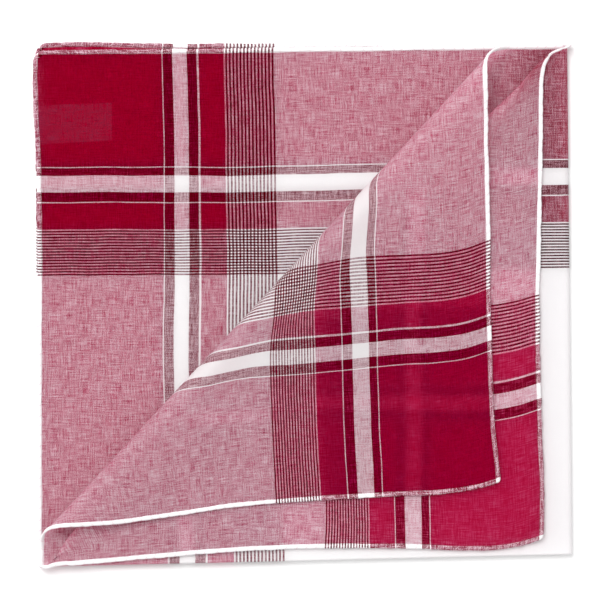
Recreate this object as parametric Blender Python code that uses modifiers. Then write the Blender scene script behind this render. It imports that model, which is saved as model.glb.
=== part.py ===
"""A check handkerchief, folded in four, with the corners of its two upper layers turned back.

The cloth is one sheet. It is drawn flat and cut where it will bend. Each point is then carried
through two folds, and the corners of the two upper layers roll back over the stack.
Flat coordinates: u runs right and v runs up from the middle of the cloth.
Folded coordinates: +X right, +Y away from the two folded edges, +Z up, metres.
"""

import math

import bmesh
import bpy
import numpy as np

MM = 0.001

# Driving sizes of the cloth
HALF_WIDTH = 214 * MM
HALF_HEIGHT = 205 * MM
THICKNESS = 1.0 * MM
LAYER_PITCH = 1.3 * MM
HEM_WIDTH = 2 * MM
CELLS = 4
CORNER_CUTS = 3
CLOSEST = 0.4 * MM

# The two folds: the first brings the lower half under, the second brings both over to the left
FIRST_RADIUS = LAYER_PITCH / 2
SECOND_RADIUS = LAYER_PITCH
FIRST_ARC = math.pi * FIRST_RADIUS / 2
SECOND_ARC = math.pi * SECOND_RADIUS / 2
FIRST_STEPS = 6
SECOND_STEPS = 8
FOLD_X = 104.8 * MM
FOLD_Y = -99.6 * MM
LOWEST_MID = THICKNESS / 2
TOP_LAYER_MID = LOWEST_MID + 3 * LAYER_PITCH
FLAP_PITCH = 1.35 * MM

# How far each layer strays from a square stack, in mm
# layer: (x, y) at the left end of the first fold, the top end of the second, and the free corner
LAYERS = {
    "lowest": ((0.5, -3.2), (-0.4, 0.2), (-0.4, 0.6)),
    "second": ((0.5, -3.2), (-0.8, -0.6), (0.3, -1.8)),
    "third": ((1.2, -5.0), (-0.8, -0.6), (1.2, -0.8)),
    "top": ((1.2, -5.0), (-0.4, 0.2), (1.6, 0.0)),
}
CORNER_RADII = {"lowest": 5 * MM, "second": 5 * MM, "third": 1.5 * MM, "top": 2 * MM}
# Which half of the flat cloth each layer comes from: (sign of u, sign of v)
HALVES = {"lowest": (-1, -1), "second": (-1, 1), "third": (1, 1), "top": (1, -1)}

# The turned-back corners, in mm
# across: unit direction out of the roll, towards the free corner of the stack
# start: (distance along the roll, where it leaves the stack, measured across)
# roll: (distance along the roll, its radius)
# side_hem, lower_hem: (x, y) along each hem of the turned corner, from the corner
# side_run, lower_run: (distance along the flat hem, distance it takes up once turned)
TURNED = {
    "third": {
        "across": (-0.7318, 0.6815),
        "start": ((-150, 9.9), (150, 7.0)),
        "roll": ((-150, 4.2), (0, 5.9), (150, 7.4)),
        "side_hem": ((77.5, -69), (75.6, -38), (74, 2), (73.8, 28), (72.6, 70), (71.9, 98)),
        "lower_hem": (
            (77.5, -69), (69, -72), (58, -74), (38, -75),
            (7, -76.5), (-28, -79.5), (-60, -84.3), (-98, -88.6),
        ),
        "side_run": ((0, 0), (96, 96), (165, 161.5)),
        "lower_run": ((0, 0), (47, 46.3), (90, 89), (185, 177.5)),
        "sag": 0.875,
        "rests_on": 2,
        "steps": 12,
    },
    "top": {
        "across": (-0.7071, 0.7071),
        "start": ((-151, 3.0), (-143, 1.0), (-115, -0.8), (0, -0.8), (110, -1.0), (142, 0.6), (151, 2.2)),
        "roll": ((-150, 1.1), (-100, 1.8), (-40, 2.6), (20, 3.2), (100, 3.0), (150, 1.7)),
        "side_hem": ((95, -92.5), (95.4, -83), (94.6, -53), (93.5, -4), (94.6, 42), (94.8, 90)),
        "lower_hem": (
            (95, -92.5), (87, -95), (79, -96.5), (69, -97), (48, -96.2),
            (-10, -96.5), (-41, -98.4), (-75, -101.4), (-102, -103.6),
        ),
        "side_run": ((0, 0), (96, 95.5), (200, 193)),
        "lower_run": ((0, 0), (47, 44.9), (90, 87.6), (205, 201)),
        "sag": 0.0,
        "rests_on": 1,
        "steps": 9,
    },
}
# Places along the rolls, in mm, between which each roll is cut straight
STRIPS = (
    -156, -144, -134, -120, -100, -80, -60, -40, -25, -12,
    0, 12, 25, 40, 60, 80, 100, 120, 134, 144, 156,
)
# A turned corner comes down from its roll at this slope and then eases flat
DESCENT = 0.28
ROLL_TURN = math.pi + math.atan(DESCENT)
EASE_STEPS = (0.12, 0.3, 0.5, 0.75)
FLAT_STEPS = 6
CORNER_REACH = 140 * MM
SAG_SPAN = 104 * MM
CRIMSON = (0.28, 0.001, 0.02, 1.0)


def curve_at(where, table):
    """A smooth curve through a table of (place, value...) rows, straight beyond its ends."""
    rows = np.array(table, float)
    places = rows[:, 0]
    values = rows[:, 1:]
    slopes = np.gradient(values, places, axis=0)
    index = np.clip(np.searchsorted(places, where) - 1, 0, len(places) - 2)
    gap = (places[index + 1] - places[index])[:, None]
    full = (where - places[index])[:, None] / gap
    part = np.clip(full, 0, 1)
    start = (1 + 2 * part) * (1 - part) ** 2 * values[index]
    start += part * (1 - part) ** 2 * gap * slopes[index]
    end = part**2 * (3 - 2 * part) * values[index + 1]
    end += part**2 * (part - 1) * gap * slopes[index + 1]
    before = np.minimum(where - places[0], 0)[:, None] * slopes[0]
    after = np.maximum(where - places[-1], 0)[:, None] * slopes[-1]
    return start + end + before + after


def hem_curve(points):
    """A hem's points with the distance run along it in front of each."""
    points = np.array(points, float) * MM
    steps = np.linalg.norm(np.diff(points, axis=0), axis=1)
    run = np.concatenate([[0.0], np.cumsum(steps)])
    return np.column_stack([run, points])


def eased(value):
    value = np.clip(value, 0, 1)
    return value * value * (3 - 2 * value)


def folded(u, v):
    """The two folds, about v = 0 and then u = 0, measured from where they cross."""
    bend = np.clip(v, -FIRST_ARC, FIRST_ARC) / FIRST_RADIUS
    height = FIRST_RADIUS * np.sin(bend)
    y = np.where(np.abs(v) <= FIRST_ARC, -FIRST_RADIUS * np.cos(bend), np.abs(v) - FIRST_ARC)
    turn = (np.clip(u, -SECOND_ARC, SECOND_ARC) + SECOND_ARC) / SECOND_RADIUS
    radius = SECOND_RADIUS - height
    x = np.where(np.abs(u) <= SECOND_ARC, np.sin(turn) * radius, SECOND_ARC - np.abs(u))
    z = SECOND_RADIUS - np.cos(turn) * radius
    return x, y, z + LOWEST_MID + FIRST_RADIUS


def stray(x, y, layer):
    """How far a layer strays from square, at a place measured from where the folds cross."""
    left = np.maximum(-x / (HALF_WIDTH - SECOND_ARC), 0)
    up = np.maximum(y / (HALF_HEIGHT - FIRST_ARC), 0)
    shares = (left * (1 - up), (1 - left) * up, left * up)
    return [sum(share * end[axis] * MM for share, end in zip(shares, LAYERS[layer])) for axis in (0, 1)]


def stacked(u, v, layer):
    """Where a flat point of one layer lies in the folded stack, before any corner is turned."""
    x, y, z = folded(u, v)
    stray_x, stray_y = stray(x, y, layer)
    return x + FOLD_X + stray_x, y + FOLD_Y + stray_y, z


def directions(turned):
    across = np.array(turned["across"])
    across = across / np.linalg.norm(across)
    along = np.array([across[1], -across[0]])
    return across, along


def roll_sizes(turned, place):
    """Where the roll starts and its radius, at places along it."""
    start = curve_at(place / MM, turned["start"])[:, 0] * MM
    radius = curve_at(place / MM, turned["roll"])[:, 0] * MM
    return start, radius


def ease_length(turned, radius):
    """How far a turned corner's height drops after its roll, and over what distance."""
    rest = TOP_LAYER_MID + FLAP_PITCH * turned["rests_on"]
    layer_mid = TOP_LAYER_MID - LAYER_PITCH * (turned["rests_on"] - 1)
    drop = layer_mid + radius * (1 - math.cos(ROLL_TURN)) - rest
    return rest, drop, 2 * drop / DESCENT


def turned_plan(turned, from_side, from_top):
    """Plan position of a turned corner's point, from its distances to the cloth's two hems."""
    side = hem_curve(turned["side_hem"])
    lower = hem_curve(turned["lower_hem"])
    half_hem = HEM_WIDTH / 2
    side_run = curve_at(from_side / MM, turned["side_run"])[:, 0] * MM - half_hem
    lower_run = curve_at(from_top / MM, turned["lower_run"])[:, 0] * MM - half_hem
    plan = curve_at(side_run, side) + curve_at(lower_run, lower) - side[0, 1:]
    sag = turned["sag"] * from_side * from_top * np.clip(1 - from_side / SAG_SPAN, 0, 1)
    plan[:, 1] -= sag
    return plan


def turned_back(turned, x, y, z, from_side, from_top):
    """Rolls the free corner of a layer back over the stack."""
    across, along = directions(turned)
    place = x * along[0] + y * along[1]
    start, radius = roll_sizes(turned, place)
    past_start = x * across[0] + y * across[1] - start
    lift = np.maximum(past_start, 0)
    angle = np.clip(lift / radius, 0, ROLL_TURN)
    past_roll = np.maximum(lift - ROLL_TURN * radius, 0)
    out = start + radius * np.sin(angle) - past_roll
    rest, drop, ease = ease_length(turned, radius)
    on_roll = z + radius * (1 - np.cos(angle))
    easing = rest + drop * np.clip(1 - past_roll / ease, 0, None) ** 2
    z = np.where(past_roll > 0, easing, on_roll)
    plan = turned_plan(turned, from_side, from_top)
    lean = eased((lift - 0.75 * ROLL_TURN * radius) / np.maximum(4 * radius, 6 * MM))
    rolled_x = across[0] * out + along[0] * place
    rolled_y = across[1] * out + along[1] * place
    lifted = past_start > 0
    x = np.where(lifted, rolled_x + lean * (plan[:, 0] - rolled_x), x)
    y = np.where(lifted, rolled_y + lean * (plan[:, 1] - rolled_y), y)
    return x, y, z


def placed(u, v, layer):
    """Carries flat points of one layer to their place in the folded handkerchief."""
    x, y, z = stacked(u, v, layer)
    if layer in TURNED:
        from_side = HALF_WIDTH - np.abs(u)
        from_top = HALF_HEIGHT - np.abs(v)
        x, y, z = turned_back(TURNED[layer], x, y, z, from_side, from_top)
    return x, y, z


def flat_point(place, layer):
    """The flat point of a layer that lies at a place in the stack, found by closing in on it."""
    sign_u, sign_v = HALVES[layer]
    square = place - (FOLD_X, FOLD_Y)
    for _ in range(6):
        square = place - (FOLD_X, FOLD_Y) - stray(*square, layer)
    return np.array([sign_u * (SECOND_ARC - square[0]), sign_v * (FIRST_ARC + square[1])])


def faces_of(mesh, wanted):
    faces = [face for face in mesh.faces if wanted(face.calc_center_median())]
    edges = {edge for face in faces for edge in face.edges}
    points = {point for face in faces for point in face.verts}
    return faces + list(edges) + list(points)


def cut(mesh, first, second, wanted, trim=False):
    """Cuts the wanted flat faces along the line through two flat points."""
    run = np.array(second) - np.array(first)
    bmesh.ops.bisect_plane(
        mesh,
        geom=faces_of(mesh, wanted),
        dist=1e-6,
        plane_co=(first[0], first[1], 0),
        plane_no=(-run[1], run[0], 0),
        clear_inner=trim,
    )


def everywhere(_):
    return True


def side_of(line, point):
    """Which side of a flat line a point lies on, as a signed area."""
    run = line[1] - line[0]
    return run[0] * (point[1] - line[0][1]) - run[1] * (point[0] - line[0][0])


def trim_corners(mesh):
    """Rounds the four corners of the cloth with a few straight cuts each."""
    for layer, (sign_u, sign_v) in HALVES.items():
        radius = CORNER_RADII[layer]
        for step in range(CORNER_CUTS):
            angle = math.pi / 2 * (step + 0.5) / CORNER_CUTS
            out = np.array([math.cos(angle) * sign_u, math.sin(angle) * sign_v])
            touch = np.array([(HALF_WIDTH - radius) * sign_u, (HALF_HEIGHT - radius) * sign_v])
            touch = touch + out * radius
            cut(mesh, touch, touch + (-out[1], out[0]), everywhere, trim=True)


def cut_folds(mesh):
    """Cuts along both folds, and the two lower layers into cells."""
    across = [SECOND_ARC * (2 * i / SECOND_STEPS - 1) for i in range(SECOND_STEPS + 1)]
    along = [FIRST_ARC * (2 * i / FIRST_STEPS - 1) for i in range(FIRST_STEPS + 1)]
    for u in across:
        cut(mesh, (u, -1), (u, 1), everywhere)
    for v in along:
        cut(mesh, (-1, v), (1, v), everywhere)
    for step in range(1, CELLS):
        u = -HALF_WIDTH * step / CELLS
        cut(mesh, (u, -1), (u, 1), lambda point: point.x < -SECOND_ARC)
        for v in (-HALF_HEIGHT * step / CELLS, HALF_HEIGHT * step / CELLS):
            cut(mesh, (-1, v), (1, v), lambda point: point.x < SECOND_ARC)


def cut_roll(mesh, layer):
    """Cuts a turned layer into strips across its roll, and each strip where it bends."""
    turned = TURNED[layer]
    sign_u, sign_v = HALVES[layer]
    across, along = directions(turned)

    def in_layer(point):
        return point.x * sign_u > SECOND_ARC and point.y * sign_v > FIRST_ARC

    borders = []
    for place in STRIPS:
        border = [flat_point(across * far + along * place * MM, layer) for far in (0.0, 0.05)]
        cut(mesh, *border, in_layer)
        borders.append(border)
    facing = np.sign(side_of(borders[0], borders[-1][0]))
    for low, high, lower, upper in zip(STRIPS, STRIPS[1:], borders, borders[1:]):
        places = np.array([low, high]) * MM
        start, radius = roll_sizes(turned, places)
        ease = ease_length(turned, radius)[2]
        steps = [radius * ROLL_TURN * i / turned["steps"] for i in range(turned["steps"] + 1)]
        steps += [radius * ROLL_TURN + ease * share for share in EASE_STEPS]
        flat = radius * ROLL_TURN + ease
        steps += [flat + (CORNER_REACH - flat) * i / FLAT_STEPS for i in range(FLAT_STEPS)]

        def in_strip(point):
            past = side_of(lower, point) * facing > 0
            return past and side_of(upper, point) * facing < 0 and in_layer(point)

        for step in steps:
            ends = [across * far + along * place for far, place in zip(start + step, places)]
            cut(mesh, *(flat_point(end, layer) for end in ends), in_strip)


def close_points(mesh):
    """Joins points of the turned layers that lie closer together than the cloth is thick."""
    inner = [
        point
        for point in mesh.verts
        if point.co.x > SECOND_ARC * 1.01 and abs(point.co.y) > FIRST_ARC * 1.01
    ]
    rims = [point for point in inner if point.is_boundary]
    found = bmesh.ops.find_doubles(mesh, verts=inner, keep_verts=rims, dist=CLOSEST)
    bmesh.ops.weld_verts(mesh, targetmap=found["targetmap"])


def layer_of(point):
    for name, (sign_u, sign_v) in HALVES.items():
        if point.x * sign_u >= 0 and point.y * sign_v >= 0:
            return name
    return "lowest"


def flat_cloth():
    """The cloth before folding: one flat face, cut wherever it will bend."""
    mesh = bmesh.new()
    bmesh.ops.create_grid(mesh, x_segments=1, y_segments=1, size=1.0)
    bmesh.ops.scale(mesh, vec=(HALF_WIDTH, HALF_HEIGHT, 1), verts=mesh.verts)
    trim_corners(mesh)
    cut_folds(mesh)
    for layer in TURNED:
        cut_roll(mesh, layer)
    close_points(mesh)
    bmesh.ops.triangulate(mesh, faces=mesh.faces, ngon_method="BEAUTY")
    return mesh


def box_centre(spots):
    """Middle of the folded cloth's box. The two folded edges stand out by half its thickness."""
    low = spots.min(axis=0) - (0, THICKNESS / 2, 0)
    high = spots.max(axis=0) + (THICKNESS / 2, 0, 0)
    return (low + high) / 2 * (1, 1, 0)


def fold_cloth(mesh):
    """Moves each flat point to its folded place."""
    names = np.array([layer_of(point.co) for point in mesh.verts])
    flat = np.array([point.co[:2] for point in mesh.verts])
    spots = np.zeros((len(flat), 3))
    for name in HALVES:
        chosen = names == name
        spots[chosen] = np.column_stack(placed(flat[chosen, 0], flat[chosen, 1], name))
    spots = spots - box_centre(spots)
    for point, spot in zip(mesh.verts, spots):
        point.co = spot
    bmesh.ops.recalc_face_normals(mesh, faces=mesh.faces)


def cloth_material():
    material = bpy.data.materials.new("crimson_cotton")
    material.use_nodes = True
    shader = material.node_tree.nodes["Principled BSDF"]
    shader.inputs["Base Color"].default_value = CRIMSON
    shader.inputs["Roughness"].default_value = 0.9
    shader.inputs["Metallic"].default_value = 0.0
    return material


def build_handkerchief(collection):
    mesh = flat_cloth()
    fold_cloth(mesh)
    data = bpy.data.meshes.new("handkerchief")
    mesh.to_mesh(data)
    mesh.free()
    data.materials.append(cloth_material())
    data.shade_smooth()
    cloth = bpy.data.objects.new("handkerchief", data)
    collection.objects.link(cloth)
    shell = cloth.modifiers.new("thickness", "SOLIDIFY")
    shell.thickness = THICKNESS
    shell.offset = 0
    shell.use_even_offset = True
    return cloth


def main():
    for item in list(bpy.data.objects):
        bpy.data.objects.remove(item)
    collection = bpy.data.collections.new("folded_handkerchief")
    bpy.context.scene.collection.children.link(collection)
    build_handkerchief(collection)


main()
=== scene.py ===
"""A check handkerchief, folded in four with two corners turned back, on a white table.

The cloth is one thin sheet. Each of its points is carried from the flat cloth to its folded place
by the two folds and two rolls of the solid, with small shifts. Its rolled hem and the hem's
stitches follow the sheet's edge. Flat coordinates: u runs right and v runs up from the middle of
the cloth, in metres.
"""

import math

import bpy
import numpy as np
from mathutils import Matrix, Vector

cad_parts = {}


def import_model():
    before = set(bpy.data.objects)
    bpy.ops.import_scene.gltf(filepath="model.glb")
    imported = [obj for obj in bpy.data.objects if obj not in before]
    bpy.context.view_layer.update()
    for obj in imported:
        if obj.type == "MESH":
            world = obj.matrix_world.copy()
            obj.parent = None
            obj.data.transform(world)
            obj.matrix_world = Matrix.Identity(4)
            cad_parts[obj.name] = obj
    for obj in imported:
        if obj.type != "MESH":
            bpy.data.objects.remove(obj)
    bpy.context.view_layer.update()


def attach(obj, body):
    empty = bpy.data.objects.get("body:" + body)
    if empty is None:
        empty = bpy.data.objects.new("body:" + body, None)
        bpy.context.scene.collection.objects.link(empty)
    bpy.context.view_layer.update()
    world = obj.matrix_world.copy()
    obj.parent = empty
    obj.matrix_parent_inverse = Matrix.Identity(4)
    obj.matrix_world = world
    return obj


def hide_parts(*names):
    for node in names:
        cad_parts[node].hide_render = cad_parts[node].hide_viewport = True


MM = 0.001
TINY = 1e-9

# Sizes of the cloth, as in the solid
HALF_WIDTH = 214 * MM
HALF_HEIGHT = 205 * MM
THICKNESS = 1.0 * MM
LAYER_PITCH = 1.3 * MM
HEM_WIDTH = 2 * MM
FIRST_RADIUS = LAYER_PITCH / 2
SECOND_RADIUS = LAYER_PITCH
FIRST_ARC = math.pi * FIRST_RADIUS / 2
SECOND_ARC = math.pi * SECOND_RADIUS / 2
LOWEST_MID = THICKNESS / 2
TOP_LAYER_MID = LOWEST_MID + 3 * LAYER_PITCH
FLAP_PITCH = 1.35 * MM
# Puts the middle of the folded cloth's box over the origin
CENTRING = (0.14 * MM, 0.39 * MM)
# Where the two folds cross, within 1 mm of the solid's
FOLD_X = 105.6 * MM
FOLD_Y = -98.7 * MM

# How far each layer strays from a square stack, in mm
# layer: (x, y) at the left end of the first fold, the top end of the second, and the free corner
LAYERS = {
    "lowest": ((-0.3, -3.2), (-2.0, 0.5), (-1.2, -0.3)),
    "second": ((-0.3, -3.2), (-2.4, -0.4), (-0.5, -2.7)),
    "third": ((0.4, -5.0), (-2.4, -0.4), (0.4, -1.7)),
    "top": ((0.4, -5.0), (-2.0, 0.5), (0.8, -0.9)),
}
# Small shifts of a layer along itself, in mm
# layer: (middle x, y, reach in x, in y, shift in x, in y)
NUDGES = {
    "lowest": ((-88, 103, 13, 6, 0.0, 0.9),),
    "second": (
        (-25, 42, 30, 30, 0.0, -0.8), (-25, 14, 60, 14, 0.4, 0.0), (-25, 100, 60, 14, -0.7, 0.0),
        (-57, -14, 12, 25, -0.7, 0.0), (-107, 88, 8, 17, -1.5, 0.0),
    ),
    "third": ((-20, -100, 25, 10, 2.4, 0.0),),
    "top": ((-20, -100, 25, 10, 2.4, 0.0),),
}
CORNER_RADII = {"lowest": 5 * MM, "second": 5 * MM, "third": 1.5 * MM, "top": 2 * MM}
# Which half of the flat cloth each layer comes from: (sign of u, sign of v)
HALVES = {"lowest": (-1, -1), "second": (-1, 1), "third": (1, 1), "top": (1, -1)}

# The turned-back corners, in mm
# across: unit direction out of the roll, towards the free corner of the stack
# start: (distance along the roll, where it leaves the stack, measured across)
# roll: (distance along the roll, its radius)
# side_hem, lower_hem: (x, y) along each hem of the turned corner, from the corner
# side_run, lower_run: (distance along the flat hem, distance it takes up once turned)
# sag: how far a point is shifted towards -y, for each metre from one hem and from the other
# rests_on: the corner's number among the turned ones, counted up from the top layer. It is also
# its own layer's number, counted down from the top
# settle: (distance along the roll, share of the roll after which the cloth settles into its plan,
# over how many radii)
# nudges: small shifts, as above
TURNED = {
    "third": {
        "across": (-0.7318, 0.6815),
        "start": ((-150, 9.9), (150, 7.0)),
        "roll": ((-150, 4.2), (0, 5.9), (150, 7.4)),
        "side_hem": ((77.5, -69), (75.6, -38), (74, 2), (73.8, 28), (72.6, 70), (71.9, 98)),
        "lower_hem": (
            (77.5, -69), (69, -72), (58, -74), (38, -75),
            (7, -76.5), (-28, -79.5), (-60, -84.3), (-98, -88.6),
        ),
        "side_run": ((0, 0), (96, 96), (165, 161.5)),
        "lower_run": ((0, 0), (47, 46.3), (90, 89), (185, 177.5)),
        "sag": 0.875,
        "rests_on": 2,
        "settle": ((-150, 0.65, 4), (150, 0.65, 4)),
        "nudges": (
            (43, -18, 20, 20, 0.0, 1.7), (-39, -21, 26, 26, 0.0, 1.9), (16, 22, 12, 12, -1.2, 0.0),
            (22, 36, 8, 8, -1.2, 0.0), (21, -77, 60, 38, -1.1, 0.0), (-13, -75, 35, 10, 0.0, -0.4),
            (77.5, -69, 9, 9, 1.1, -0.6),
        ),
    },
    "top": {
        "across": (-0.7071, 0.7071),
        "start": (
            (-151, 3.1), (-148.4, 0.6), (-146, -1.6), (-144.5, -2.4), (-140, -1.6), (-134.8, -0.5),
            (-127, 0.1), (-115, -0.6), (0, -0.8), (110, -1.0), (136, -0.5), (142.7, -0.2),
            (146, -1.2), (149, -1.9), (152, -1.9),
        ),
        "roll": (
            (-150, 0.8), (-145, 0.8), (-135, 1.2), (-100, 1.8), (-40, 2.6), (20, 3.2), (100, 3.0),
            (136, 1.7), (142.7, 1.5), (146, 1.2), (149, 0.9), (152, 0.9),
        ),
        "side_hem": (
            (95, -92.5), (95.4, -83), (94.6, -53), (93.5, -4), (94.4, 42), (94.8, 70.4),
            (94.9, 84), (95.2, 92), (96.6, 97.6), (99.3, 101.2), (102.6, 102.8), (106, 103.9),
        ),
        "lower_hem": (
            (95, -92.5), (87, -95), (79, -96.5), (69, -97), (48, -96.2), (-10, -96.5),
            (-41, -98.4), (-75, -101.4), (-90.8, -102.6), (-100.6, -103.6), (-104.5, -105.2),
        ),
        "side_run": ((0, 0), (96, 95.5), (200, 193)),
        "lower_run": ((0, 0), (47, 44.9), (90, 87.6), (205, 201)),
        "sag": 0.0,
        "rests_on": 1,
        "settle": ((-150, 0.2, 3), (-138, 0.65, 4), (112, 0.65, 5), (138, 0.0, 5), (150, 0.0, 4)),
        "nudges": ((84, -8, 20, 22, 0.0, 2.7), (43, -80, 16, 14, -1.8, 0.0)),
    },
}
# A turned corner comes down from its roll at this slope
DESCENT = 0.28
ROLL_TURN = math.pi + math.atan(DESCENT)
# The sag ends this far from the side hem
SAG_SPAN = 104 * MM

# The fine sheet
GRID_STEP = 1.5 * MM
FOLD_LINES = {"u": 10, "v": 8}
# Metres of flat cloth to one unit of its UV map
UV_SPAN = 0.5

# The rolled hem
HEM_STEP = 0.8 * MM
ROLLED_WIDTH = 1.85 * MM
HEM_HALF_HEIGHT = 0.52 * MM
HEM_SIDES = 8
# No point of the hem or its stitches lies lower than this above the table
LEAST_HEIGHT = 0.02 * MM
# The way out of the cloth is taken from this far inside its edge
OUTWARD_FROM = 0.7 * HEM_WIDTH
# Waves along the hem: (size, length in mm, seed). The sway's sizes are lengths, the others shares
WIDTH_WAVES = ((0.10, 3, 3), (0.06, 11, 4))
HEIGHT_WAVES = ((0.08, 4, 5),)
SWAY_WAVES = ((0.14 * MM, 14, 6), (0.09 * MM, 5, 7))
# A stitch draws the hem in by these shares of its width and height, over this far to each side
PINCH_WIDTH = 0.13
PINCH_HEIGHT = 0.22
PINCH_REACH = 0.75 * MM

# Its stitches. Each strays by up to a share of their spacing, and leans along the hem by a length
# between two, in mm
STITCH_SPACING = 4.1 * MM
STITCH_STRAY = 0.16
STITCH_SLANTS = (0.45, 0.8)
STITCH_SEEDS = {"strays": 11, "slants": 12}
STITCH_HEIGHT = 0.98 * HEM_HALF_HEIGHT
STITCH_REACH = 0.93 * ROLLED_WIDTH / 2
THREAD_RADIUS = 0.08 * MM
THREAD_RINGS = 12
THREAD_SIDES = 4

# Soft creases and swells, in mm
# layer: (distances from the side and upper hem at one end, at the other, half width, height)
CREASES = {
    "second": (
        ((7.2, 164), (7.6, 192), 1.4, -0.35),
        ((30, 60), (96, 40), 14, 0.25),
        ((120, 30), (150, 60), 16, -0.25),
        ((20, 110), (60, 150), 18, 0.3),
    ),
    "third": (
        ((190, 4), (183, 26), 1.6, -0.5),
        ((20, 60), (30, 120), 12, 0.3),
        ((70, 20), (110, 34), 12, -0.3),
        ((40, 40), (90, 90), 18, 0.3),
    ),
    "top": (
        ((1, 11), (13, 3), 0.9, 0.9),
        ((0, 3), (4, 0), 1.5, 0.7),
        ((14, 60), (20, 150), 10, 0.25),
    ),
    "lowest": (),
}
# A crease wanders to both sides by a share of its half width, and rises and falls by a share of
# its height. The length of those waves counts in half widths, and their start in radians
CREASE_WANDER = {"share": 0.25, "length": 1.7, "start_by_height": 9}
CREASE_SWELL = {"share": 0.25, "length": 1.1, "start": 1.3}

# The woven check, in mm from the hem's outer edge
# name: (where it starts, the yarn from there on)
# pale is white yarn that covers more of the yarn that it crosses
CHECK = {
    "warp": (
        (0, "white"), (1.8, "crimson"), (50.9, "pale"), (51.55, "dark"), (55.2, "pale"),
        (61.3, "dark"), (65.15, "pale"), (65.8, "crimson"), (76.1, "white"),
    ),
    "weft": (
        (0, "white"), (1.8, "crimson"), (46.65, "pale"), (47.25, "dark"), (50.3, "pale"),
        (56.9, "dark"), (60.55, "pale"), (61.15, "crimson"), (71.85, "white"),
    ),
}
# A width in mm that holds either row of the check, and what stands for each yarn in it
CHECK_SPAN = 100.0
YARN_CODES = {
    "white": (0, 0, 0, 1), "crimson": (1, 0, 0, 1), "dark": (0, 1, 0, 1), "pale": (0, 0, 1, 1),
}
# Fine lines in pairs of a light one and a deep one: where they start and end, how many pairs there
# are, and how much more they cover of the crossing yarn, pale yarn being 1
FINE_LINES = {
    "warp": {"start": 76.1, "end": 96.35, "pairs": 14, "light_cover": -0.5, "deep_cover": 0.7},
    "weft": {"start": 71.85, "end": 90.3, "pairs": 16, "light_cover": -0.2, "deep_cover": 0.8},
}
LIGHT_SHARE = 0.46
# A light line takes up this much of a rosy tint where it crosses crimson
ROSY_SHARE = 0.24
ROSY = (1.0, 0.16, 0.33)
# How each yarn is seen from the front, and the light that it passes to the other side
YARNS = {
    "white": {"seen": (0.985, 0.975, 0.98), "passed": (0.995, 0.99, 0.992)},
    "crimson": {"seen": (0.28, 0.0005, 0.037), "passed": (0.93, 0.16, 0.34)},
    "dark": {"seen": (0.26, 0.0, 0.02), "passed": (0.06, 0.0, 0.0)},
    "deep": {"seen": (0.17, 0.0, 0.012), "passed": (0.05, 0.0, 0.0)},
}
# A bare patch shows through the cloth of this layer. In mm, from the side hem and the upper hem
PATCH = {
    "layer": "second", "middle": (16.0, 29.4), "half": (14.4, 7.6), "slope": 0.035, "soft": 0.15,
    "shows": 0.08, "uneven": 0.15, "colour": (0.5, 0.15, 0.36),
}

# The weave, in mm
YARN_PITCH = {"warp": 0.362, "weft": 0.288}
# The two sets of yarns take turns on top, and the warp's share of what is seen swings by this
TURNS_ON_TOP = 0.42
# What covering more adds to each set's share
COVER_GAINS = {"warp": 0.2, "weft": 0.27}
# How far a crossing has the colour of light that got past both yarns
CROSSING_TINT = 0.3
# Rows of yarn drift to both sides within this width, in bumps of this width and height
DRIFT = 0.7
DRIFT_SIZE = (30.0, 18.0)
# (width, height) of speckles, of streaks along the warp and of streaks along the weft, and how
# strong each is in the warp's share and in the cloth's thickness
UNEVEN_SIZES = ((0.44, 0.40), (0.42, 6.0), (6.0, 0.38))
SHARE_UNEVEN = (1.2, 1.1, -1.1)
THICK_UNEVEN = (1.0, 2.1, 2.1)
# Keeps one use of the noise apart from the next
NOISE_SHIFTS = {"drift in u": 3.0, "drift in v": 7.0, "share": 10.0, "thickness": 60.0}
# Painted shade: colours deepen towards the upright middle, which lies along the right fold of the
# stack by the turned corners, from the first of these distances to the second. The last value
# deepens them a little more in the left half
PAINTED_SHADE_SPAN = (36.0, 8.0)
PAINTED_SHADE_MIDDLE = 0.95
DEEPER_LEFT = 0.12
# How far the uneven thickness deepens what is seen of mixed cloth and of plain crimson cloth
THICK_IN_MIXED = 0.4
THICK_IN_CRIMSON = 0.1
# Less coloured light is let through where the cloth is thick, in the left half, and towards the
# right side from the first of these distances to the second
DIM_THICK = 0.2
DIM_SIDE = (80.0, 190.0)
DIM_MIXED = 0.16
DIM_CRIMSON = 0.02
# The least power that deepens the light let through
LEAST_POWER = 0.15
# How much less of the light white cloth lets through than crimson cloth, as a share
WHITE_STOPS = 0.17
# The depth of the weave, and how far crossings and thick cloth stand up in it
WEAVE_RELIEF = 0.06 * MM
RAISED_HEIGHT = 0.6
THICK_HEIGHT = 0.1


def curve_at(where, table):
    """A smooth curve through a table of (place, value...) rows, straight beyond its ends."""
    rows = np.array(table, float)
    places = rows[:, 0]
    values = rows[:, 1:]
    slopes = np.gradient(values, places, axis=0)
    index = np.clip(np.searchsorted(places, where) - 1, 0, len(places) - 2)
    gap = (places[index + 1] - places[index])[:, None]
    full = (where - places[index])[:, None] / gap
    part = np.clip(full, 0, 1)
    start = (1 + 2 * part) * (1 - part) ** 2 * values[index]
    start += part * (1 - part) ** 2 * gap * slopes[index]
    end = part**2 * (3 - 2 * part) * values[index + 1]
    end += part**2 * (part - 1) * gap * slopes[index + 1]
    before = np.minimum(where - places[0], 0)[:, None] * slopes[0]
    after = np.maximum(where - places[-1], 0)[:, None] * slopes[-1]
    return start + end + before + after


def hem_curve(points):
    """A hem's points with the distance run along it in front of each."""
    points = np.array(points, float) * MM
    steps = np.linalg.norm(np.diff(points, axis=0), axis=1)
    run = np.concatenate([[0.0], np.cumsum(steps)])
    return np.column_stack([run, points])


def eased(value):
    value = np.clip(value, 0, 1)
    return value * value * (3 - 2 * value)


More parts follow.
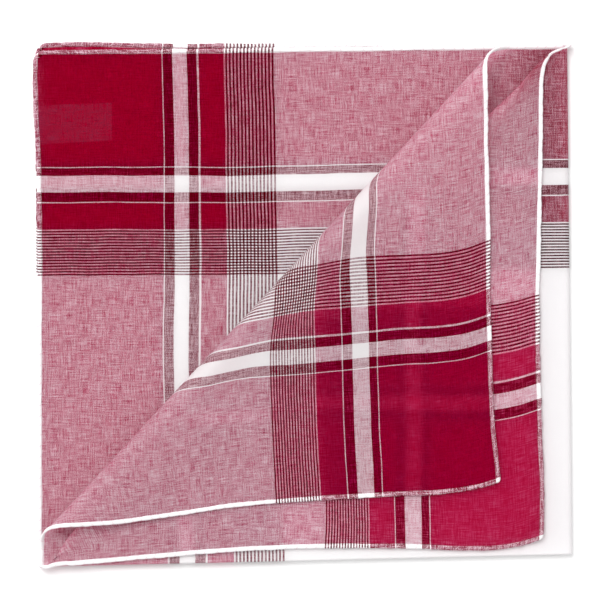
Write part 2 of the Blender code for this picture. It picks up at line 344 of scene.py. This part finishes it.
def folded(u, v):
    """The two folds, about v = 0 and then u = 0, measured from where they cross."""
    bend = np.clip(v, -FIRST_ARC, FIRST_ARC) / FIRST_RADIUS
    height = FIRST_RADIUS * np.sin(bend)
    y = np.where(np.abs(v) <= FIRST_ARC, -FIRST_RADIUS * np.cos(bend), np.abs(v) - FIRST_ARC)
    turn = (np.clip(u, -SECOND_ARC, SECOND_ARC) + SECOND_ARC) / SECOND_RADIUS
    radius = SECOND_RADIUS - height
    x = np.where(np.abs(u) <= SECOND_ARC, np.sin(turn) * radius, SECOND_ARC - np.abs(u))
    z = SECOND_RADIUS - np.cos(turn) * radius
    return x, y, z + LOWEST_MID + FIRST_RADIUS


def stray(x, y, layer):
    """How far a layer strays from square, at a place measured from where the folds cross."""
    left = np.maximum(-x / (HALF_WIDTH - SECOND_ARC), 0)
    up = np.maximum(y / (HALF_HEIGHT - FIRST_ARC), 0)
    shares = (left * (1 - up), (1 - left) * up, left * up)
    return [sum(share * end[axis] * MM for share, end in zip(shares, LAYERS[layer])) for axis in (0, 1)]


def nudged(x, y, nudges):
    """The sum of the small shifts at a place."""
    shift_x, shift_y = np.zeros(len(x)), np.zeros(len(x))
    for middle_x, middle_y, reach_x, reach_y, by_x, by_y in nudges:
        off = ((x / MM - middle_x) / reach_x) ** 2 + ((y / MM - middle_y) / reach_y) ** 2
        near = np.exp(-off / 2) * MM
        shift_x += by_x * near
        shift_y += by_y * near
    return shift_x, shift_y


def stacked(u, v, layer):
    """Where a flat point of one layer lies in the folded stack, before any corner is turned."""
    x, y, z = folded(u, v)
    stray_x, stray_y = stray(x, y, layer)
    x, y = x + FOLD_X + stray_x, y + FOLD_Y + stray_y
    shift_x, shift_y = nudged(x, y, NUDGES[layer])
    return x + shift_x, y + shift_y, z


def directions(turned):
    across = np.array(turned["across"])
    across = across / np.linalg.norm(across)
    along = np.array([across[1], -across[0]])
    return across, along


def roll_sizes(turned, place):
    """Where the roll starts and its radius, at places along it."""
    start = curve_at(place / MM, turned["start"])[:, 0] * MM
    radius = curve_at(place / MM, turned["roll"])[:, 0] * MM
    return start, radius


def ease_length(turned, radius):
    """How far a turned corner's height drops after its roll, and over what distance."""
    rest = TOP_LAYER_MID + FLAP_PITCH * turned["rests_on"]
    layer_mid = TOP_LAYER_MID - LAYER_PITCH * (turned["rests_on"] - 1)
    drop = layer_mid + radius * (1 - math.cos(ROLL_TURN)) - rest
    return rest, drop, 2 * drop / DESCENT


def turned_plan(turned, from_side, from_top):
    """Plan position of a turned corner's point, from its distances to the cloth's two hems."""
    side = hem_curve(turned["side_hem"])
    lower = hem_curve(turned["lower_hem"])
    half_hem = HEM_WIDTH / 2
    side_run = curve_at(from_side / MM, turned["side_run"])[:, 0] * MM - half_hem
    lower_run = curve_at(from_top / MM, turned["lower_run"])[:, 0] * MM - half_hem
    plan = curve_at(side_run, side) + curve_at(lower_run, lower) - side[0, 1:]
    sag = turned["sag"] * from_side * from_top * np.clip(1 - from_side / SAG_SPAN, 0, 1)
    plan[:, 1] -= sag
    shift_x, shift_y = nudged(plan[:, 0], plan[:, 1], turned["nudges"])
    plan[:, 0] += shift_x
    plan[:, 1] += shift_y
    return plan


def turned_back(turned, x, y, z, from_side, from_top):
    """Rolls the free corner of a layer back over the stack."""
    across, along = directions(turned)
    place = x * along[0] + y * along[1]
    start, radius = roll_sizes(turned, place)
    past_start = x * across[0] + y * across[1] - start
    lift = np.maximum(past_start, 0)
    angle = np.clip(lift / radius, 0, ROLL_TURN)
    past_roll = np.maximum(lift - ROLL_TURN * radius, 0)
    out = start + radius * np.sin(angle) - past_roll
    rest, drop, ease = ease_length(turned, radius)
    on_roll = z + radius * (1 - np.cos(angle))
    easing = rest + drop * np.clip(1 - past_roll / ease, 0, None) ** 2
    z = np.where(past_roll > 0, easing, on_roll)
    plan = turned_plan(turned, from_side, from_top)
    settle = curve_at(place / MM, turned["settle"])
    lean = eased((lift / radius - settle[:, 0] * ROLL_TURN) / settle[:, 1])
    rolled_x = across[0] * out + along[0] * place
    rolled_y = across[1] * out + along[1] * place
    lifted = past_start > 0
    x = np.where(lifted, rolled_x + lean * (plan[:, 0] - rolled_x), x)
    y = np.where(lifted, rolled_y + lean * (plan[:, 1] - rolled_y), y)
    return x, y, z


def swells(from_side, from_top, layer):
    """Height of a layer's soft creases and swells."""
    rise = np.zeros(len(from_side))
    spot = np.column_stack([from_side, from_top]) / MM
    for first, last, half_width, height in CREASES[layer]:
        first, last = np.array(first, float), np.array(last, float)
        run = last - first
        length = np.linalg.norm(run)
        run = run / length
        gone = (spot - first) @ run
        off = (spot - first) @ np.array([-run[1], run[0]])
        phase = gone / (CREASE_WANDER["length"] * half_width)
        phase = phase + CREASE_WANDER["start_by_height"] * height
        off = off + CREASE_WANDER["share"] * half_width * np.sin(phase)
        beyond = np.maximum(np.maximum(-gone, gone - length), 0)
        phase = gone / (CREASE_SWELL["length"] * half_width) + CREASE_SWELL["start"]
        swell = 1 + CREASE_SWELL["share"] * np.sin(phase)
        rise += height * MM * swell * np.exp(-(off**2 + beyond**2) / (2 * half_width**2))
    return rise


def placed(u, v, layer):
    """Carries flat points of one layer to their place in the folded handkerchief."""
    x, y, z = stacked(u, v, layer)
    from_side = HALF_WIDTH - np.abs(u)
    from_top = HALF_HEIGHT - np.abs(v)
    if layer in TURNED:
        x, y, z = turned_back(TURNED[layer], x, y, z, from_side, from_top)
    return x + CENTRING[0], y + CENTRING[1], z + swells(from_side, from_top, layer)


def folded_spots(u, v):
    """Folded places of flat points of the whole cloth, as rows of x, y, z."""
    spots = np.zeros((len(u), 3))
    for layer, (sign_u, sign_v) in HALVES.items():
        chosen = (np.where(u >= 0, 1, -1) == sign_u) & (np.where(v >= 0, 1, -1) == sign_v)
        spots[chosen] = np.column_stack(placed(u[chosen], v[chosen], layer))
    return spots


def corner_radius(u, v):
    """Radius of the nearest corner of the cloth."""
    radius = np.zeros(len(u))
    for layer, (sign_u, sign_v) in HALVES.items():
        chosen = (np.where(u >= 0, 1, -1) == sign_u) & (np.where(v >= 0, 1, -1) == sign_v)
        radius[chosen] = CORNER_RADII[layer]
    return radius


def rounded(u, v):
    """Draws the corners of the flat cloth in to their radius."""
    radius = corner_radius(u, v)
    over_u = np.maximum(np.abs(u) - (HALF_WIDTH - radius), 0)
    over_v = np.maximum(np.abs(v) - (HALF_HEIGHT - radius), 0)
    reach = np.hypot(over_u, over_v)
    keep = np.where(reach > TINY, np.maximum(over_u, over_v) / np.maximum(reach, TINY), 1.0)
    round_u = np.sign(u) * (np.abs(u) - over_u * (1 - keep))
    round_v = np.sign(v) * (np.abs(v) - over_v * (1 - keep))
    return round_u, round_v


def grid_lines(half, arc, fold_lines, step):
    """Places of a row of grid lines from one edge to the other, closer together over the fold."""
    side = np.linspace(arc, half, math.ceil((half - arc) / step) + 1)
    fold = np.linspace(-arc, arc, fold_lines + 1)[1:-1]
    return np.concatenate([-side[::-1], fold, side])


def mesh_piece(name, points, faces, flat, material):
    """A piece from points, faces and the flat position of each point."""
    data = bpy.data.meshes.new(name)
    data.from_pydata(points.tolist(), [], faces.tolist())
    corners = np.zeros(len(data.loops), np.int32)
    data.loops.foreach_get("vertex_index", corners)
    layer = data.uv_layers.new(name="flat")
    layer.data.foreach_set("uv", (flat[corners] / UV_SPAN + 0.5).astype(np.float32).ravel())
    data.materials.append(material)
    data.shade_smooth()
    data.update()
    piece = bpy.data.objects.new(name, data)
    bpy.context.scene.collection.objects.link(piece)
    return piece


def make_sheet(material):
    half_hem = HEM_WIDTH / 2
    lines_u = grid_lines(HALF_WIDTH - half_hem, SECOND_ARC, FOLD_LINES["u"], GRID_STEP)
    lines_v = grid_lines(HALF_HEIGHT - half_hem, FIRST_ARC, FOLD_LINES["v"], GRID_STEP)
    u, v = (side.ravel() for side in np.meshgrid(lines_u, lines_v, indexing="ij"))
    u, v = rounded(u, v)
    count = len(lines_v)
    index = np.arange(len(u)).reshape(len(lines_u), count)
    faces = np.stack([index[:-1, :-1], index[1:, :-1], index[1:, 1:], index[:-1, 1:]], axis=-1)
    flat = np.column_stack([u, v])
    return mesh_piece("cloth", folded_spots(u, v), faces.reshape(-1, 4), flat, material)


def edge_points(inset, step):
    """Flat points once round the cloth, a distance in from its edge."""
    sides = []
    lines_u = grid_lines(HALF_WIDTH, SECOND_ARC, FOLD_LINES["u"], step)
    lines_v = grid_lines(HALF_HEIGHT, FIRST_ARC, FOLD_LINES["v"], step)
    sides.append((np.full(len(lines_v), HALF_WIDTH), lines_v))
    sides.append((lines_u[::-1], np.full(len(lines_u), HALF_HEIGHT)))
    sides.append((np.full(len(lines_v), -HALF_WIDTH), lines_v[::-1]))
    sides.append((lines_u, np.full(len(lines_u), -HALF_HEIGHT)))
    u = np.concatenate([side[0][:-1] for side in sides])
    v = np.concatenate([side[1][:-1] for side in sides])
    radius = corner_radius(u, v)
    shrink = np.maximum(radius - inset, 0) / radius
    along_u = np.abs(u) >= HALF_WIDTH - TINY
    along_v = np.abs(v) >= HALF_HEIGHT - TINY
    over_u = np.maximum(np.abs(u) - (HALF_WIDTH - radius), 0) * shrink
    over_v = np.maximum(np.abs(v) - (HALF_HEIGHT - radius), 0) * shrink
    inner_u = np.where(over_u > 0, HALF_WIDTH - radius + over_u, np.abs(u))
    inner_v = np.where(over_v > 0, HALF_HEIGHT - radius + over_v, np.abs(v))
    inner_u = np.where(along_u, HALF_WIDTH - inset, inner_u)
    inner_v = np.where(along_v, HALF_HEIGHT - inset, inner_v)
    return rounded(np.sign(u) * inner_u, np.sign(v) * inner_v)


def unit(rows):
    return rows / np.maximum(np.linalg.norm(rows, axis=1, keepdims=True), TINY)


def wander(run, length, seed):
    """Smooth uneven numbers of about -1 to 1 along a closed run, one rise or fall to a length."""
    total = run[-1] * (1 + 1 / len(run))
    count = max(round(total / length), 4)
    knots = np.random.default_rng(seed).uniform(-1, 1, count)
    place = run / total * count
    index = np.floor(place).astype(int) % count
    part = eased(place - np.floor(place))
    return knots[index] * (1 - part) + knots[(index + 1) % count] * part


def waves(run, rows):
    """The sum of several wandering numbers, from rows of their size, length in mm and seed."""
    return sum(size * wander(run, length * MM, seed) for size, length, seed in rows)


def hem_frames():
    """The hem's line round the cloth: folded and flat positions, the directions out and up, and how
    far round each point is."""
    flat_mid = np.column_stack(edge_points(HEM_WIDTH / 2, HEM_STEP))
    flat_out = np.column_stack(edge_points(0.0, HEM_STEP))
    flat_in = np.column_stack(edge_points(OUTWARD_FROM, HEM_STEP))
    middle = folded_spots(*flat_mid.T)
    outward = unit(folded_spots(*flat_out.T) - folded_spots(*flat_in.T))
    forward = unit(np.roll(middle, -1, axis=0) - np.roll(middle, 1, axis=0))
    upward = unit(np.cross(outward, forward))
    steps = np.linalg.norm(np.roll(flat_mid, -1, axis=0) - flat_mid, axis=1)
    run = np.concatenate([[0.0], np.cumsum(steps)[:-1]])
    return {
        "middle": middle, "flat": flat_mid, "flat_outward": unit(flat_out - flat_in),
        "outward": outward, "upward": upward, "run": run,
    }


def stitch_places(run):
    """Where the hem's stitches come, uneven as hand sewing."""
    count = round(run[-1] / STITCH_SPACING)
    random = np.random.default_rng(STITCH_SEEDS["strays"])
    strays = random.uniform(-STITCH_STRAY, STITCH_STRAY, count)
    return (np.arange(count) + 0.5 + strays) * run[-1] / count


def ring_faces(rings, sides):
    """Faces of a closed tube of rings, by the number of each point."""
    index = np.arange(rings * sides).reshape(rings, sides)
    ahead = np.roll(index, -1, axis=0)
    faces = [index, np.roll(index, -1, axis=1), np.roll(ahead, -1, axis=1), ahead]
    return np.stack(faces, axis=-1).reshape(-1, 4)


def make_hem(frames, material):
    """The rolled hem: a soft flattened roll, drawn in a little at each stitch."""
    run = frames["run"]
    stitches = stitch_places(run)
    nearest = np.min(np.abs(run[:, None] - stitches[None, :]), axis=1)
    pinch = np.exp(-((nearest / PINCH_REACH) ** 2))
    half_width = ROLLED_WIDTH / 2 * (1 + waves(run, WIDTH_WAVES)) * (1 - PINCH_WIDTH * pinch)
    half_height = HEM_HALF_HEIGHT * (1 + waves(run, HEIGHT_WAVES)) * (1 - PINCH_HEIGHT * pinch)
    sway = waves(run, SWAY_WAVES)
    rings, flats = [], []
    for side in range(HEM_SIDES):
        angle = 2 * math.pi * side / HEM_SIDES
        reach = half_width * math.cos(angle)
        rise = half_height * math.sin(angle)
        out = frames["outward"] * (sway + reach)[:, None]
        rings.append(frames["middle"] + out + frames["upward"] * rise[:, None])
        flats.append(frames["flat"] + frames["flat_outward"] * reach[:, None])
    points = np.stack(rings, axis=1).reshape(-1, 3)
    points[:, 2] = np.maximum(points[:, 2], LEAST_HEIGHT)
    flat = np.stack(flats, axis=1).reshape(-1, 2)
    return mesh_piece("rolled_hem", points, ring_faces(len(run), HEM_SIDES), flat, material)


def at_run(frames, name, where):
    """One of the hem's rows at distances round it."""
    return np.column_stack([np.interp(where, frames["run"], values) for values in frames[name].T])


def make_stitches(frames, material):
    """A slanting loop of thread round the hem at each stitch."""
    points, faces, flats = [], [], []
    places = stitch_places(frames["run"])
    random = np.random.default_rng(STITCH_SEEDS["slants"])
    slants = random.uniform(*STITCH_SLANTS, len(places)) * MM
    turn = 2 * np.pi * np.arange(THREAD_RINGS) / THREAD_RINGS
    angles = 2 * np.pi * np.arange(THREAD_SIDES) / THREAD_SIDES
    for number, place in enumerate(places):
        where = place + slants[number] * np.cos(turn)
        middle = at_run(frames, "middle", where)
        line = middle + at_run(frames, "outward", where) * (STITCH_REACH * np.cos(turn))[:, None]
        line = line + at_run(frames, "upward", where) * (STITCH_HEIGHT * np.sin(turn))[:, None]
        ahead = unit(np.roll(line, -1, axis=0) - np.roll(line, 1, axis=0))
        away = unit(line - middle)
        aside = unit(np.cross(ahead, away))
        rings = [
            line + THREAD_RADIUS * (away * math.cos(angle) + aside * math.sin(angle))
            for angle in angles
        ]
        points.append(np.stack(rings, axis=1).reshape(-1, 3))
        flats.append(np.repeat(at_run(frames, "flat", where), THREAD_SIDES, axis=0))
        faces.append(ring_faces(THREAD_RINGS, THREAD_SIDES) + number * THREAD_RINGS * THREAD_SIDES)
    points = np.concatenate(points)
    points[:, 2] = np.maximum(points[:, 2], LEAST_HEIGHT)
    return mesh_piece("hem_stitches", points, np.concatenate(faces), np.concatenate(flats), material)


class Tree:
    """Short names for the nodes of one material."""

    def __init__(self, name):
        self.material = bpy.data.materials.new(name)
        self.material.use_nodes = True
        self.nodes = self.material.node_tree.nodes
        self.links = self.material.node_tree.links
        self.nodes.clear()

    def node(self, kind, inputs=(), **settings):
        made = self.nodes.new(kind)
        for key, value in settings.items():
            setattr(made, key, value)
        for key, value in dict(inputs).items():
            self.feed(made.inputs[key], value)
        return made

    def feed(self, socket, value):
        if isinstance(value, bpy.types.NodeSocket):
            self.links.new(value, socket)
        else:
            socket.default_value = value

    def math(self, operation, *values, clamp=False):
        made = self.node("ShaderNodeMath", enumerate(values), operation=operation, use_clamp=clamp)
        return made.outputs[0]

    def times(self, first, second, plus=None):
        """The product of two values, with a third added to it where there is one."""
        if plus is None:
            return self.math("MULTIPLY", first, second)
        return self.math("MULTIPLY_ADD", first, second, plus)

    def minus(self, first, second):
        return self.math("SUBTRACT", first, second)

    def ramp(self, value, low, high):
        """0 where a value is at low and 1 where it is at high, smoothly between."""
        ends = {0: value, 1: low, 2: high, 3: 0.0, 4: 1.0}
        return self.node("ShaderNodeMapRange", ends, interpolation_type="SMOOTHSTEP").outputs[0]

    def mix(self, factor, first, second):
        made = self.node("ShaderNodeMix", data_type="RGBA")
        sockets = (made.inputs[0], made.inputs[6], made.inputs[7])
        for socket, value in zip(sockets, (factor, first, second)):
            self.feed(socket, value)
        return made.outputs[2]

    def channels(self, colour):
        return self.node("ShaderNodeSeparateXYZ", {0: colour}).outputs

    def joined(self, channels):
        return self.node("ShaderNodeCombineXYZ", enumerate(channels)).outputs[0]

    def noise(self, u, v, size, shift):
        """Smooth noise of about 0.5 at a place, with bumps of a size in u and in v."""
        x = self.math("DIVIDE", u, size[0])
        y = self.math("DIVIDE", v, size[1])
        inputs = {"Vector": self.joined((x, y, shift)), "Scale": 1.0, "Detail": 1.0}
        return self.node("ShaderNodeTexNoise", inputs, noise_dimensions="3D").outputs[0]

    def bump(self, strength, distance, height):
        inputs = {"Strength": strength, "Distance": distance, "Height": height}
        return self.node("ShaderNodeBump", inputs).outputs[0]


def opaque(rgb):
    return (*rgb, 1.0)


def check_ramp(tree, from_edge, name):
    """How far the yarn at a distance from the hem is crimson, dark and pale, fine lines aside."""
    ramp = tree.node("ShaderNodeValToRGB", {0: tree.math("DIVIDE", from_edge, CHECK_SPAN)})
    ramp.color_ramp.interpolation = "CONSTANT"
    stops = ramp.color_ramp.elements
    while len(stops) > 1:
        stops.remove(stops[-1])
    for number, (place, yarn) in enumerate(CHECK[name]):
        stop = stops[0] if number == 0 else stops.new(place / CHECK_SPAN)
        stop.position = place / CHECK_SPAN
        stop.color = YARN_CODES[yarn]
    return tree.node("ShaderNodeSeparateColor", {0: ramp.outputs[0]}).outputs


def yarn_set(tree, from_edge, name):
    """The warp or the weft at a distance from the hem: how far it is of each kind of yarn, how much
    more it covers, and whether it is the light of a pair of fine lines."""
    crimson, dark, pale = check_ramp(tree, from_edge, name)
    lines = FINE_LINES[name]
    pair_width = (lines["end"] - lines["start"]) / lines["pairs"]
    pair = tree.math("DIVIDE", tree.minus(from_edge, lines["start"]), pair_width)
    started = tree.math("GREATER_THAN", pair, 0.0)
    inside = tree.times(started, tree.math("LESS_THAN", pair, float(lines["pairs"])))
    past_light = tree.math("GREATER_THAN", tree.math("FRACT", pair), LIGHT_SHARE)
    deep = tree.times(inside, past_light)
    cover = tree.times(inside, lines["light_cover"], pale)
    cover = tree.times(deep, lines["deep_cover"] - lines["light_cover"], cover)
    kinds = {"crimson": crimson, "dark": dark, "deep": deep}
    return {"kinds": kinds, "cover": cover, "light": tree.minus(inside, deep)}


def yarn_colour(tree, yarns, light):
    """The colour of a set of yarns, in the light that is seen or in the light that is passed."""
    colour = opaque(YARNS["white"][light])
    for kind, mask in yarns["kinds"].items():
        colour = tree.mix(mask, colour, opaque(YARNS[kind][light]))
    return colour


def crossed(tree, warp_share, warp, weft, light):
    """The colour of the two crossing sets. Each also tints the light that gets past it."""
    warp_colour = yarn_colour(tree, warp, light)
    weft_colour = yarn_colour(tree, weft, light)
    mixed = tree.mix(warp_share, weft_colour, warp_colour)
    product = tree.node("ShaderNodeVectorMath", {0: warp_colour, 1: weft_colour}, operation="MULTIPLY")
    roots = [tree.math("POWER", channel, 0.5) for channel in tree.channels(product.outputs[0])]
    return tree.mix(CROSSING_TINT, mixed, tree.joined(roots))


def uneven(tree, u, v, strengths, shift):
    """Unevenness about 0: speckles of about a yarn, and streaks along the warp and the weft."""
    total = -sum(strengths) / 2
    for number, (size, strength) in enumerate(zip(UNEVEN_SIZES, strengths)):
        total = tree.times(tree.noise(u, v, size, shift + 10 * number), strength, total)
    return total


def deepened(tree, colour, power):
    """A colour raised to a power, which leaves white as it is and deepens the rest."""
    return tree.joined([tree.math("POWER", channel, power) for channel in tree.channels(colour)])


def flat_place(tree):
    """Flat coordinates in mm. The rows of yarn drift a little to the side and back."""
    flat = tree.node("ShaderNodeUVMap", uv_map="flat").outputs[0]
    span = UV_SPAN / MM
    scaling = {0: flat, 1: (span, span, 0), 2: (-span / 2, -span / 2, 0)}
    place = tree.node("ShaderNodeVectorMath", scaling, operation="MULTIPLY_ADD").outputs[0]
    u, v = tree.channels(place)[:2]
    wide, high = DRIFT_SIZE
    drift_u = tree.minus(tree.noise(u, v, (wide, high), NOISE_SHIFTS["drift in u"]), 0.5)
    drift_v = tree.minus(tree.noise(u, v, (high, wide), NOISE_SHIFTS["drift in v"]), 0.5)
    return tree.times(drift_u, DRIFT, u), tree.times(drift_v, DRIFT, v)


def yarns_on_top(tree, u, v, warp, weft, grain):
    """How far a crossing is raised, and the warp's share of what is seen there."""
    across = tree.math("SINE", tree.times(u, math.pi / YARN_PITCH["warp"]))
    along = tree.math("SINE", tree.times(v, math.pi / YARN_PITCH["weft"]))
    over = tree.times(across, along)
    share = tree.times(over, TURNS_ON_TOP, 0.5)
    share = tree.times(warp["cover"], COVER_GAINS["warp"], share)
    share = tree.times(weft["cover"], -COVER_GAINS["weft"], share)
    strengths = [strength * grain for strength in SHARE_UNEVEN]
    strays = uneven(tree, u, v, strengths, NOISE_SHIFTS["share"])
    return tree.math("ABSOLUTE", over), tree.math("ADD", share, strays, clamp=True)


def rosy_lines(tree, warp, weft):
    """How far light fine lines that cross crimson take up its tint."""
    warp_lines = tree.times(warp["light"], weft["kinds"]["crimson"])
    weft_lines = tree.times(weft["light"], warp["kinds"]["crimson"])
    return tree.times(tree.math("MAXIMUM", warp_lines, weft_lines), ROSY_SHARE)


def painted_shade_and_density(tree, u, density):
    """The power that deepens colours: the yarns' density, with painted shade towards the cloth's
    upright middle along the right fold, and a little more in its left half.
    """
    # Painted shade near the upright middle, which lies along the right fold
    middle = tree.ramp(tree.math("ABSOLUTE", u), *PAINTED_SHADE_SPAN)
    shade_and_density = tree.times(middle, PAINTED_SHADE_MIDDLE, density)
    # Colours deepen a little more in the left half
    return tree.times(tree.math("LESS_THAN", u, 0.0), DEEPER_LEFT, shade_and_density)


def brightness(tree, u, thick, white, crimson):
    """How much of the coloured light is let through: less in the left half and near the right
    side, though hardly in plain crimson there, and less where the cloth is thick."""
    dimmer = tree.math("MAXIMUM", tree.math("LESS_THAN", u, 0.0), tree.ramp(u, *DIM_SIDE))
    dimmer = tree.times(dimmer, tree.times(crimson, DIM_CRIMSON - DIM_MIXED, DIM_MIXED))
    dimmer = tree.times(thick, DIM_THICK, dimmer)
    return tree.minus(1.0, tree.times(dimmer, tree.minus(1.0, white)))


def bare_patch(tree, u, v, from_side, from_top, thick):
    """How far the bare patch shows: 0 away from it."""
    sign_u, sign_v = HALVES[PATCH["layer"]]
    along = tree.minus(from_side, PATCH["middle"][0])
    aside = tree.minus(tree.times(along, PATCH["slope"], from_top), PATCH["middle"][1])
    shows = tree.times(thick, PATCH["uneven"], PATCH["shows"])
    shows = tree.times(shows, tree.math("GREATER_THAN", tree.times(u, float(sign_u)), 0.0))
    shows = tree.times(shows, tree.math("GREATER_THAN", tree.times(v, float(sign_v)), 0.0))
    for off, reach in zip((along, aside), PATCH["half"]):
        off = tree.math("ABSOLUTE", off)
        shows = tree.times(shows, tree.ramp(off, reach + PATCH["soft"], reach - PATCH["soft"]))
    return shows


def check_cotton(name, through, bump_depth, grain=1.0, density=1.0):
    """The woven check. through is the share of light that is let through, bump_depth how strongly
    the weave stands out, grain how uneven it is and density how close its yarns lie."""
    tree = Tree(name)
    u, v = flat_place(tree)
    from_side = tree.minus(HALF_WIDTH / MM, tree.math("ABSOLUTE", u))
    from_top = tree.minus(HALF_HEIGHT / MM, tree.math("ABSOLUTE", v))
    warp = yarn_set(tree, from_side, "warp")
    weft = yarn_set(tree, from_top, "weft")
    raised, share = yarns_on_top(tree, u, v, warp, weft, grain)
    seen = crossed(tree, share, warp, weft, "seen")
    seen = tree.mix(rosy_lines(tree, warp, weft), seen, opaque(ROSY))
    passed = crossed(tree, share, warp, weft, "passed")
    white = tree.channels(passed)[1]
    crimson = tree.times(warp["kinds"]["crimson"], weft["kinds"]["crimson"])

    # The yarns' density, painted shade towards the upright middle and a little deepening in the left
    # half
    shade_and_density = painted_shade_and_density(tree, u, density)
    thick = uneven(tree, u, v, THICK_UNEVEN, NOISE_SHIFTS["thickness"])
    thick_shows = tree.times(crimson, THICK_IN_CRIMSON - THICK_IN_MIXED, THICK_IN_MIXED)
    # What is seen is deepened by the uneven thickness and by the painted shade and density
    seen = deepened(tree, seen, tree.times(thick, thick_shows, shade_and_density))
    patch = bare_patch(tree, u, v, from_side, from_top, thick)
    seen = tree.mix(patch, seen, opaque(PATCH["colour"]))
    # The light let through is deepened by the thickness and by the painted shade and density
    power = tree.math("MAXIMUM", tree.math("ADD", thick, shade_and_density), LEAST_POWER)
    bright = brightness(tree, u, thick, white, crimson)
    scaling = {0: deepened(tree, passed, power), "Scale": bright}
    passed = tree.node("ShaderNodeVectorMath", scaling, operation="SCALE").outputs[0]

    height = tree.times(raised, RAISED_HEIGHT, tree.times(thick, THICK_HEIGHT))
    bump = tree.bump(bump_depth, WEAVE_RELIEF, height)
    front = tree.node(
        "ShaderNodeBsdfPrincipled",
        {"Base Color": seen, "Roughness": 0.9, "Specular IOR Level": 0.0, "Normal": bump},
    )
    back = tree.node("ShaderNodeBsdfTranslucent", {"Color": passed, "Normal": bump})
    passing = tree.times(white, -WHITE_STOPS, through)
    sides = {0: passing, 1: front.outputs[0], 2: back.outputs[0]}
    both = tree.node("ShaderNodeMixShader", sides).outputs[0]
    tree.node("ShaderNodeOutputMaterial", {0: both})
    return tree.material


def sewing_thread():
    """Pale pink cotton thread."""
    tree = Tree("sewing_thread")
    flat = tree.node("ShaderNodeUVMap", uv_map="flat").outputs[0]
    grain = tree.node("ShaderNodeTexNoise", {"Vector": flat, "Scale": 900.0, "Detail": 2.0}).outputs[0]
    colour = tree.mix(grain, opaque((0.78, 0.50, 0.56)), opaque((0.95, 0.85, 0.88)))
    bump = tree.bump(0.3, 0.05 * MM, grain)
    front = tree.node(
        "ShaderNodeBsdfPrincipled",
        {"Base Color": colour, "Roughness": 0.7, "Specular IOR Level": 0.25, "Normal": bump},
    )
    tree.node("ShaderNodeOutputMaterial", {0: front.outputs[0]})
    return tree.material


def table_top():
    """Matt white paint."""
    tree = Tree("white_table")
    where = tree.node("ShaderNodeTexCoord").outputs["Object"]
    grain = tree.node("ShaderNodeTexNoise", {"Vector": where, "Scale": 40.0, "Detail": 3.0}).outputs[0]
    colour = tree.mix(grain, opaque((0.97, 0.97, 0.97)), opaque((0.99, 0.99, 0.99)))
    front = tree.node(
        "ShaderNodeBsdfPrincipled",
        {"Base Color": colour, "Roughness": 0.8, "Specular IOR Level": 0.1},
    )
    tree.node("ShaderNodeOutputMaterial", {0: front.outputs[0]})
    return tree.material


def make_floor():
    half = 3.0
    data = bpy.data.meshes.new("table_top")
    corners = [(-half, -half, 0), (half, -half, 0), (half, half, 0), (-half, half, 0)]
    data.from_pydata(corners, [], [(0, 1, 2, 3)])
    data.materials.append(table_top())
    floor = bpy.data.objects.new("table_top", data)
    bpy.context.scene.collection.objects.link(floor)
    return floor


def make_camera():
    """Looks straight down. Its frame is 240 mm square at the height of the folded stack."""
    distance = 2.5
    frame_side = 240 * MM
    stack_height = 5 * MM
    middle_x, middle_y = -1.26 * MM, 2.8 * MM
    data = bpy.data.cameras.new("camera")
    data.sensor_width = 36.0
    data.lens = data.sensor_width * distance / frame_side
    data.clip_end = 50.0
    camera = bpy.data.objects.new("camera", data)
    camera.location = (middle_x, middle_y, distance + stack_height)
    bpy.context.scene.collection.objects.link(camera)
    bpy.context.scene.camera = camera


def area_light(name, place, size, power):
    data = bpy.data.lights.new(name, "AREA")
    data.shape = "SQUARE"
    data.size = size
    data.energy = power
    light = bpy.data.objects.new(name, data)
    light.location = place
    light.rotation_mode = "QUATERNION"
    light.rotation_quaternion = (-Vector(place)).to_track_quat("-Z", "Y")
    bpy.context.scene.collection.objects.link(light)


def make_light():
    """White light from all round, and a softbox above the upper left."""
    world = bpy.data.worlds.new("studio")
    world.use_nodes = True
    background = world.node_tree.nodes["Background"].inputs
    background["Color"].default_value = (1, 1, 1, 1)
    background["Strength"].default_value = 0.74
    bpy.context.scene.world = world
    area_light("softbox", place=(-0.6, 0.9, 1.9), size=1.4, power=38.0)
    bpy.context.scene.view_settings.view_transform = "Standard"


def main():
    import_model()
    cloth = make_sheet(check_cotton("check_cotton", through=0.6, bump_depth=0.4))
    frames = hem_frames()
    rolled_cotton = check_cotton(
        "rolled_check_cotton", through=0.3, bump_depth=0.8, grain=1.8, density=1.6
    )
    hem = make_hem(frames, rolled_cotton)
    stitches = make_stitches(frames, sewing_thread())
    for piece in (cloth, hem, stitches):
        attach(piece, "root")
    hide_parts("handkerchief")
    floor = make_floor()
    make_camera()
    make_light()


main()
